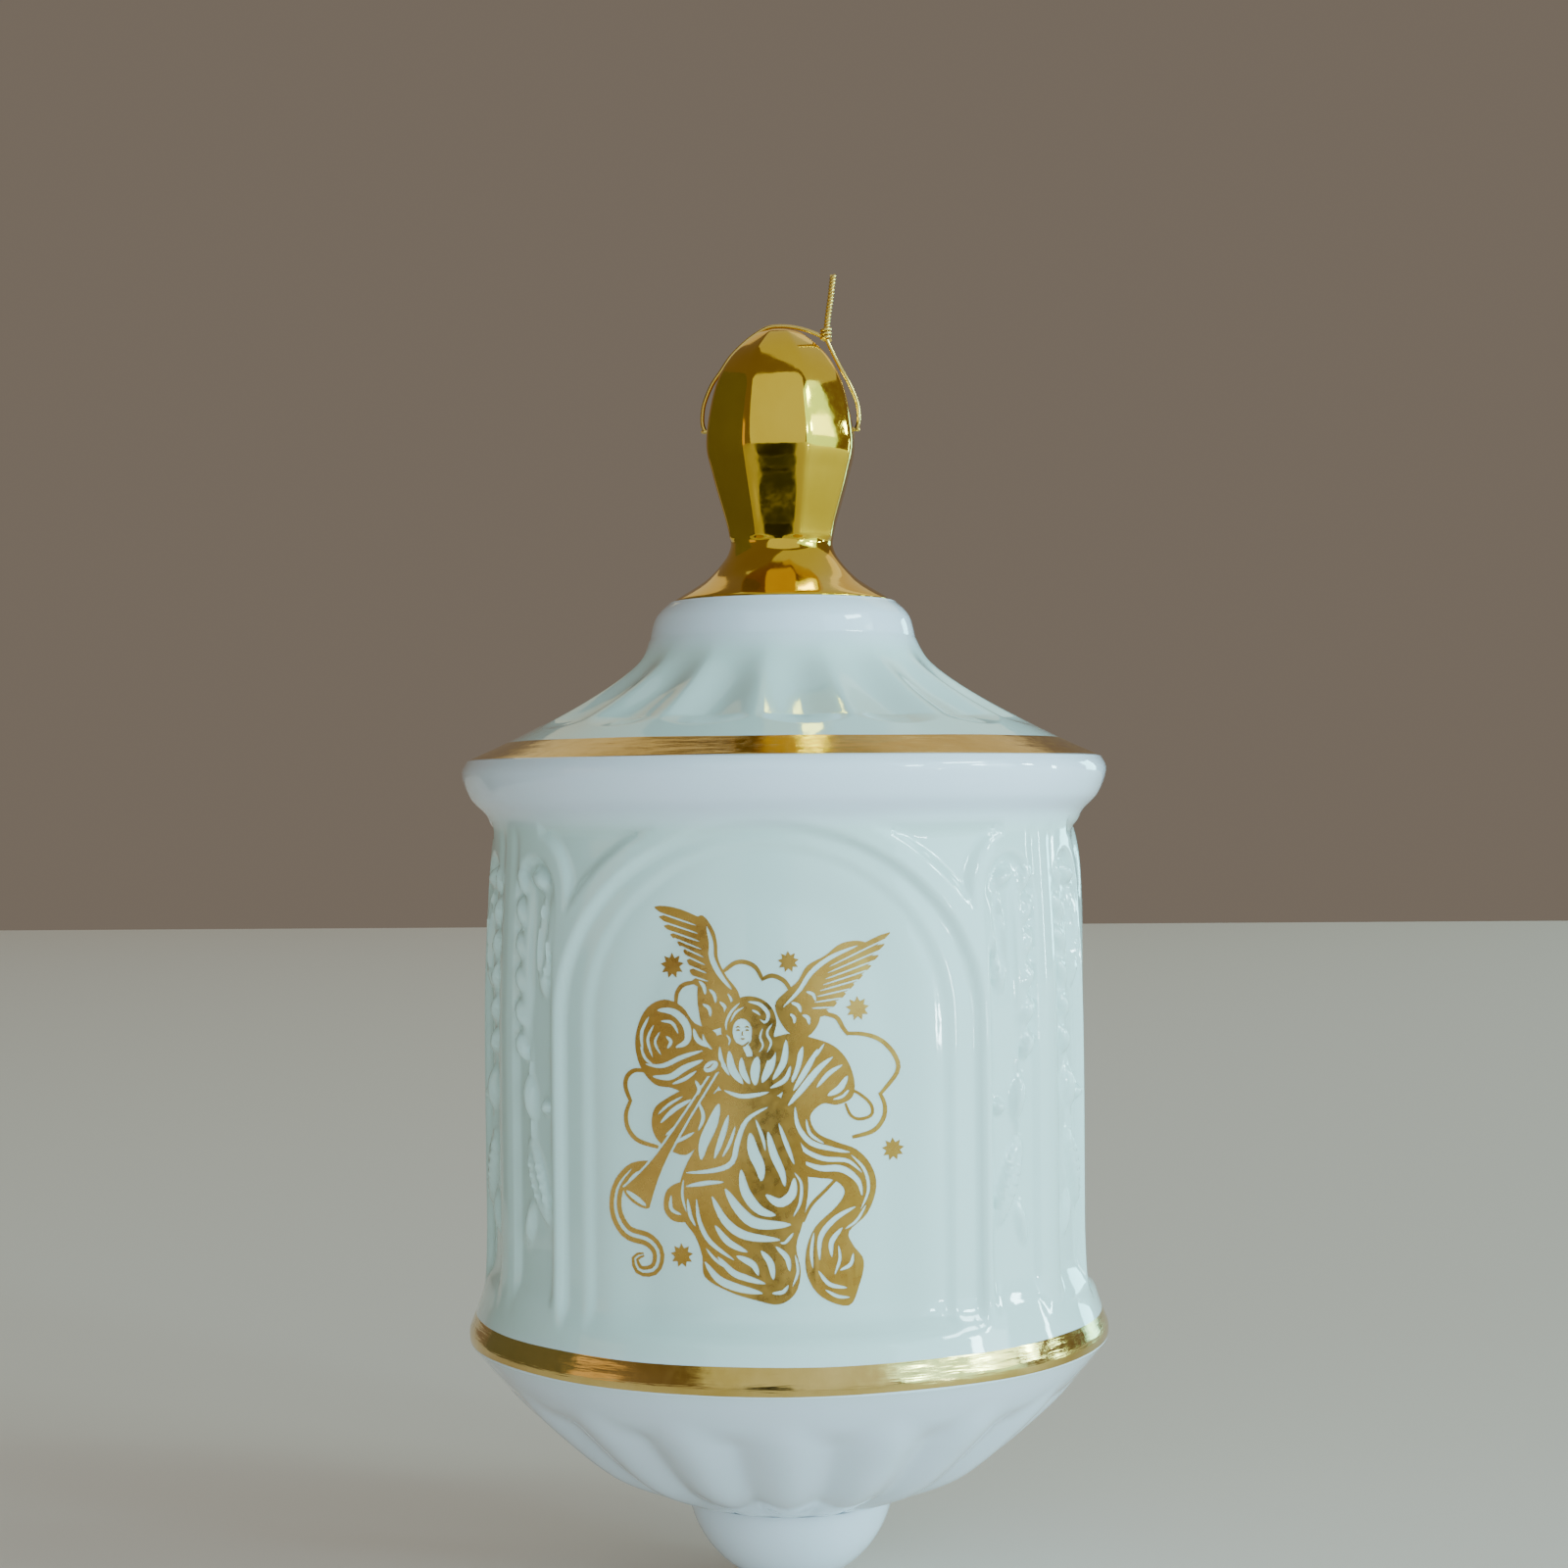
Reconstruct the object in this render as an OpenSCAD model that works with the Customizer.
// Hanging porcelain ornament: a fluted roof, a round drum with three arched
// niches and a ribbed bowl, luted together, with a gilt finial and wire hanger.
// Millimetres. The origin is the centre of the finial's cross-hole, +Z runs up
// the axis and the front niche faces -Y.

/* [Castings] */
// Thickness of the porcelain wall
wall_t = 2; // [1.6:0.1:2.2]
// Largest radius of the cornice
cornice_r = 26.1; // [25.9:0.1:26.5]
// Radius of the drum at its pilasters
drum_r = 24.4; // [24.2:0.1:24.6]
// Radius of the rim at the waist
waist_r = 25.8; // [25.6:0.1:26.2]
// Radius of the ball under the bowl
ball_r = 8.4; // [8.2:0.1:8.6]

/* [Heights] */
// Height of the face where the finial stands on the roof
foot_z = -14; // [-14.2:0.1:-13.8]
// Height of the joint between the roof and the drum
eaves_z = -26.8; // [-27:0.1:-26.6]
// Height of the joint between the drum and the bowl
waist_z = -73.2; // [-73.4:0.1:-73]
// Height of the lip that holds the ball
lip_z = -86.4; // [-86.6:0.1:-86.2]

/* [Finial] */
// Distance from the axis to the middle of a facet at its widest
finial_r = 6; // [5.8:0.1:6.1]
// Number of pairs of facets
facet_pairs = 4; // [4]
// Radius of the cross-hole for the hanger
hole_r = 0.8; // [0.6:0.05:1]
// Radius of the vent from the cross-hole to the hollow
vent_r = 0.6; // [0.4:0.1:0.7]

/* [Niches] */
// Number of niches round the drum
niche_count = 3; // [3]
// Width across the outer moulding of a niche
niche_w = 32.6; // [31:0.1:33]
// Height of a niche from its sill to its crown
niche_h = 37.4; // [36:0.1:37.8]
// Height of the sill
sill_z = -69; // [-69.2:0.1:-68.6]
// Depth of the moulding round a niche, below the pilasters
moulding_d = 0.9; // [0.8:0.05:1]
// Depth of the floor of a niche, below the pilasters
floor_d = 1.5; // [1.3:0.05:1.6]
// Width of the moulding round a niche
moulding_w = 1.9; // [1.2:0.1:2.4]

/* [Foliage drops] */
// Angle from the middle of a niche to a foliage drop
drop_angle = 49.8; // [49.4:0.2:50.4]
// Width of the round-headed panel behind a drop
panel_w = 5.2; // [4.8:0.1:5.4]
// Height of the panel from its foot to its crown
panel_h = 32; // [30:0.5:32.5]
// Depth of the panel
panel_d = 0.5; // [0.3:0.05:0.6]
// Number of leaves in a drop
leaf_count = 5; // [3:1:5]

/* [Flutes] */
// Number of flutes in the roof
roof_flutes = 16; // [12:1:18]
// Number of ribs on the bowl
bowl_ribs = 18; // [12:1:20]
// Depth of the flutes and of the grooves between ribs
flute_d = 0.4; // [0.2:0.05:0.5]
// Angle that the first flute of the roof is turned from the cross-hole
flute_turn = 8.6; // [0:0.1:22.5]
// Angle that the first groove of the bowl is turned from the cross-hole
groove_turn = 3; // [0:0.5:20]

/* [Gilding] */
// Thickness of the gold bands and of the transfers
gold_t = 0.1; // [0.08:0.01:0.15]

/* [Hanger] */
// Diameter of the gilt wire
wire_d = 0.38; // [0.3:0.02:0.42]
// Turns of the two strands of the tail round each other
tail_turns = 5; // [3:1:6]

/* [Hidden] */

$fn = 96;

// Colours
porcelain = [0.86, 0.9, 0.88];
gold = [0.83, 0.64, 0.22];

// Smooth curve through hand-set points, n steps to a span (Catmull-Rom)
function spline(p, n) = [
    for (i = [0 : len(p) - 2], s = [0 : n - 1])
        let (t = s / n,
             a = p[max(i - 1, 0)], b = p[i], c = p[i + 1], d = p[min(i + 2, len(p) - 1)])
        0.5 * (2 * b + (c - a) * t + (2 * a - 5 * b + 4 * c - d) * t * t
               + (3 * b - a - 3 * c + d) * t * t * t),
    p[len(p) - 1]];

// Last n points of a list, and a list turned round
function tail_of(p, n) = [for (i = [len(p) - n : len(p) - 1]) p[i]];
function turned_round(p) = [for (i = [len(p) - 1 : -1 : 0]) p[i]];

// A downward outline moved towards the axis along its normals
function inset(p, t) = [
    for (i = [0 : len(p) - 1])
        let (d = p[min(i + 1, len(p) - 1)] - p[max(i - 1, 0)])
        p[i] + t * [d[1], -d[0]] / norm(d)];

// Centre and radius of the circle through three points: [x, y, r]
function circle_through(a, b, c) =
    let (u = b - a, v = c - a, k = 2 * (u[0] * v[1] - u[1] * v[0]),
         o = [v[1] * (u * u) - u[1] * (v * v), u[0] * (v * v) - v[0] * (u * u)] / k)
    [a[0] + o[0], a[1] + o[1], norm(o)];

// Outlines of the castings as [radius, height], from the top down
collar_r = 9.4;
bead_r = 10.8;
roof_line = spline([[collar_r, foot_z], [bead_r - 0.5, foot_z - 1.3], [bead_r, foot_z - 3],
                    [12.2, foot_z - 5.2], [16.2, foot_z - 8],
                    [22.4, eaves_z + 1.5], [cornice_r - 0.4, eaves_z]], 4);
cornice_line = spline([[cornice_r - 0.4, eaves_z], [cornice_r, eaves_z - 1.1],
                       [cornice_r - 0.7, eaves_z - 3], [drum_r - 0.4, eaves_z - 4.6],
                       [drum_r - 0.6, eaves_z - 6.7]], 3);
base_line = spline([[drum_r, waist_z + 9], [drum_r + 0.2, waist_z + 4.8],
                    [waist_r - 0.4, waist_z + 1.9], [waist_r, waist_z + 0.8],
                    [waist_r, waist_z]], 3);
drum_line = concat(cornice_line, [[drum_r, eaves_z - 19]], base_line);
lip_r = ball_r - 0.1;
bowl_line = spline([[waist_r, waist_z], [waist_r - 1.8, waist_z - 2.2], [20.5, waist_z - 5.9],
                    [15.5, waist_z - 10.1], [lip_r + 2.2, lip_z + 0.8], [lip_r, lip_z]], 4);

// Gilded stretches of those outlines
upper_band_line = [for (i = [0 : 3]) tail_of(roof_line, 5)[i]];
lower_band_line = tail_of(base_line, 7);

// Floors of the niches, and the hollow one wall inside them
floor_r = drum_r - floor_d;
hollow_r = floor_r - wall_t;
niche_top = eaves_z - 4.6;
niche_pitch = 360 / niche_count;
drop_angles = [for (n = [0 : niche_count - 1], side = [-1, 1]) n * niche_pitch + side * drop_angle];
panel_r = drum_r - panel_d - 0.3;
panel_z = sill_z + 2.6;

// Arcs that the roof's flutes and the bowl's grooves run along
roof_arc = circle_through([11.3, foot_z - 4], [16.2, foot_z - 8], [22.4, eaves_z + 1.5]);
bowl_arc = circle_through([22.5, waist_z - 3.7], [15.5, waist_z - 10.1], [9.5, lip_z + 0.4]);
flute_tube = 2.6;
flute_span = [227, 245];
groove_tube = 1;
groove_span = [289, 321];

// Ball under the bowl
ball_z = lip_z + 1.3;

// Half outline of the finial's facets as [distance to the facet, height]
facet_foot = -8.8;
facet_line = spline([[0, 8.2], [2, 7.6], [3.8, 5.8], [5.2, 3.2], [finial_r, -1],
                     [5.5, -3.8], [4.4, -7.7], [4.2, facet_foot]], 3);
foot_line = spline([[4.4, facet_foot], [4.7, -10.2], [6.2, -12.2], [8.75, foot_z]], 4);

// Hanger, drawn on XZ: every strand stays outside the finial's corners as it swings
wire_r = wire_d / 2;
strand_sides = 10;
pin_half = finial_r + 0.1;
side_run = [[pin_half - 0.3, 0], [6.35, 0.1], [6.7, 0.8], [6.5, 1.9], [6.15, 2.8], [5.6, 3.9]];
knot = [3.75, 7.55];
knot_r = 0.42;
crown_run = [[-5.1, 4.9], [-4.35, 6.1], [-3.4, 7.2], [-2.2, 8.1], [-0.8, 8.6],
             [1, 8.65], [2.6, 8.3], knot];
knot_run = [[5.1, 5], [4.55, 6.1], knot];
tail_top = [4.4, 12.6];
mirrored_side = [for (p = side_run) [-p[0], p[1]]];

// A solid of revolution from a closed outline
module turned(line) rotate_extrude() polygon(line);

// The gilding over a stretch of outline, and the shallow seat it lies in
module band(line) turned(concat(line, turned_round(inset(line, gold_t))));
module band_seat(line) turned(concat(inset(line, -1), turned_round(inset(line, gold_t))));

// A flat shape drawn on XZ, pushed out from the axis towards -Y and turned to an angle
module radial(angle)
    rotate([0, 0, angle]) rotate([90, 0, 0]) linear_extrude(cornice_r + 2) children();

// Everything between two radii, to hold a radial shape to the drum's wall
module ring(inner, outer)
    translate([0, 0, sill_z - 1]) difference() {
        cylinder(r = outer, h = niche_top - sill_z + 1);
        translate([0, 0, -1]) cylinder(r = inner, h = niche_top - sill_z + 3);
    }

// A round-headed arch standing on its sill
module arch(w, h) {
    translate([-w / 2, 0]) square([w, h - w / 2]);
    translate([0, h - w / 2]) circle(d = w);
}

// A pointed shape, from two arcs that meet at its ends
module pointed(w, h) {
    bow = (h * h / w + w) / 4;
    intersection() {
        translate([bow - w / 2, 0]) circle(bow);
        translate([w / 2 - bow, 0]) circle(bow);
    }
}

// One niche: a moulding step and a floor, both concentric with the drum
module niche(angle) {
    intersection() {
        radial(angle) translate([0, sill_z]) arch(niche_w, niche_h);
        ring(drum_r - moulding_d, cornice_r + 1);
    }
    intersection() {
        radial(angle) translate([0, sill_z + moulding_w / 2])
            arch(niche_w - 2 * moulding_w, niche_h - 1.5 * moulding_w);
        ring(floor_r, cornice_r + 1);
    }
}

// The sunk round-headed panel behind one foliage drop
module drop_panel(angle)
    intersection() {
        radial(angle) translate([0, panel_z]) arch(panel_w, panel_h);
        ring(panel_r, cornice_r + 1);
    }

// One leaf: a pointed shape domed by a sphere that rises off its panel
module leaf(angle, z, w, h) {
    rise = 0.45;
    intersection() {
        radial(angle) translate([0, z]) pointed(w, h);
        rotate([0, 0, angle]) translate([0, h - panel_r - rise, z]) sphere(h);
    }
}

// A drop of leaves that shrink on their way down a panel
module foliage(angle)
    for (i = [0 : leaf_count - 1]) {
        size = 1 - 0.12 * i;
        leaf(angle, panel_z + panel_h * (0.84 - 0.15 * i), 2.8 * size, 4.8 * size);
    }

// A round channel along an arc in the plane of one meridian
module channel(arc, centreline, tube, span, angle)
    rotate([0, 0, angle]) translate([arc[0], 0, arc[1]]) rotate([90, 0, 0])
        rotate([0, 0, span[0]]) rotate_extrude(angle = span[1] - span[0])
            translate([centreline, 0]) circle(tube);

// An eight-pointed star
module star(size)
    polygon([for (i = [0 : 15])
        let (r = i % 2 == 0 ? size : size / 2) r * [cos(i * 22.5), sin(i * 22.5)]]);

// The motif of a transfer, drawn flat: a winged figure with a trumpet, and stars
module motif() {
    translate([-1.4, 6.2]) circle(1.5);
    translate([-0.6, -3.4]) rotate(8) pointed(9, 17);
    translate([-5.2, 9.4]) rotate(33) pointed(3, 10);
    translate([4.6, 8.4]) rotate(-42) pointed(3.4, 12);
    translate([4.6, -7.6]) rotate(20) pointed(4.6, 13);
    polygon([[-10.4, -8.2], [-8.2, -9.6], [-2.4, 1.4], [-3, 1.8]]);
    for (p = [[-8.6, 9.4], [0.8, 11.2], [6.6, 5], [8.8, -5], [-6.4, -12.6]])
        translate(p) star(1.05);
}

// One transfer, a film of gold on a niche floor
module transfer(angle)
    color(gold) intersection() {
        radial(angle) translate([0, (sill_z + niche_top) / 2 - 2.4]) motif();
        ring(floor_r, floor_r + gold_t);
    }

// A round strand swept along a flat path on XZ
module strand(path) {
    last = len(path) - 1;
    rings = [for (i = [0 : last], k = [0 : strand_sides - 1])
        let (d = path[min(i + 1, last)] - path[max(i - 1, 0)],
             n = [d[1], -d[0]] / norm(d), a = k * 360 / strand_sides)
        [path[i][0] + wire_r * cos(a) * n[0], wire_r * sin(a), path[i][1] + wire_r * cos(a) * n[1]]];
    walls = [for (i = [0 : last - 1], k = [0 : strand_sides - 1])
        let (a = i * strand_sides + k, b = i * strand_sides + (k + 1) % strand_sides)
        [a, a + strand_sides, b + strand_sides, b]];
    start = [for (k = [0 : strand_sides - 1]) k];
    end = [for (k = [strand_sides - 1 : -1 : 0]) last * strand_sides + k];
    polyhedron(rings, concat(walls, [start, end]));
}

// Roof casting: collar, fluted ogee slope and the edge of the eaves
module roof() {
    hollow = [for (p = inset(roof_line, wall_t))
        if (p[0] < hollow_r && p[1] < foot_z - wall_t) p];
    color(porcelain) difference() {
        turned(concat([[vent_r, foot_z]], roof_line, [[hollow_r, eaves_z]],
                      turned_round(hollow), [[vent_r, foot_z - wall_t]]));
        for (i = [0 : roof_flutes - 1])
            channel(roof_arc, roof_arc[2] + flute_d - flute_tube, flute_tube, flute_span,
                    flute_turn + i * 360 / roof_flutes);
        band_seat(upper_band_line);
    }
}

// Drum casting: cornice, three niches with foliage drops between them, and base
module drum()
    color(porcelain) {
        difference() {
            turned(concat(drum_line, [[hollow_r, waist_z], [hollow_r, eaves_z]]));
            for (n = [0 : niche_count - 1]) niche(n * niche_pitch);
            for (a = drop_angles) drop_panel(a);
            band_seat(lower_band_line);
        }
        for (a = drop_angles) intersection() {
            foliage(a);
            ring(panel_r - wall_t / 2, cornice_r);
        }
    }

// Bowl casting: plain lip, ribs and the rim that holds the ball
module bowl() {
    hollow = [for (p = inset(bowl_line, wall_t)) if (p[0] < hollow_r && p[1] < waist_z) p];
    neck_r = lip_r - wall_t;
    color(porcelain) difference() {
        turned(concat(bowl_line, [[neck_r, lip_z]], turned_round(hollow), [[hollow_r, waist_z]]));
        for (i = [0 : bowl_ribs - 1])
            channel(bowl_arc, bowl_arc[2] + groove_tube - flute_d, groove_tube, groove_span,
                    groove_turn + i * 360 / bowl_ribs);
    }
}

// Ball drop: a hollow ball, open where it is luted to the bowl
module ball_drop()
    color(porcelain) difference() {
        translate([0, 0, ball_z]) sphere(ball_r);
        translate([0, 0, ball_z]) sphere(ball_r - wall_t);
        translate([0, 0, lip_z]) cylinder(r = ball_r + 1, h = ball_r * 2);
    }

// Finial: a faceted onion on a flared round foot, with its cross-hole and vent
module finial() {
    half = facet_line;
    outline = concat(half, [for (p = turned_round(half)) [-p[0], p[1]]]);
    reach = finial_r * 2;
    color(gold) difference() {
        union() {
            intersection_for (i = [0 : facet_pairs - 1])
                rotate([0, 0, i * 180 / facet_pairs]) rotate([90, 0, 0])
                    linear_extrude(reach, center = true) polygon(outline);
            turned(concat([[0, facet_foot]], foot_line, [[0, foot_z]]));
        }
        rotate([0, 90, 0]) cylinder(r = hole_r, h = 2 * reach, center = true);
        translate([0, 0, foot_z - 1]) cylinder(r = vent_r, h = -foot_z + 1);
    }
}

// Gold bands, burnished on
module upper_gold_band() color(gold) band(upper_band_line);
module lower_gold_band() color(gold) band(lower_band_line);

// Gold transfers, one to a niche
module front_transfer() transfer(0);
module left_transfer() transfer(-niche_pitch);
module right_transfer() transfer(niche_pitch);

// Hanger wire: a straight pin through the cross-hole and a loop over the crown
module hanger_wire()
    color(gold) {
        rotate([0, 90, 0]) cylinder(r = wire_r, h = 2 * pin_half, center = true);
        strand(spline(concat(mirrored_side, crown_run), 3));
        strand(spline(concat(side_run, knot_run), 3));
    }

// Tail of the hanger: the knot and the two ends twisted together
module hanger_tail() {
    run = tail_top - knot;
    color(gold) translate([knot[0], 0, knot[1]]) rotate([0, atan2(run[0], run[1]), 0]) {
        sphere(knot_r);
        linear_extrude(norm(run), twist = 360 * tail_turns, slices = 10 * tail_turns, $fn = 8)
            for (side = [-1, 1]) translate([side * wire_r * 0.9, 0]) circle(wire_r);
    }
}

roof();
drum();
bowl();
ball_drop();
finial();
upper_gold_band();
lower_gold_band();
front_transfer();
left_transfer();
right_transfer();
hanger_wire();
hanger_tail();
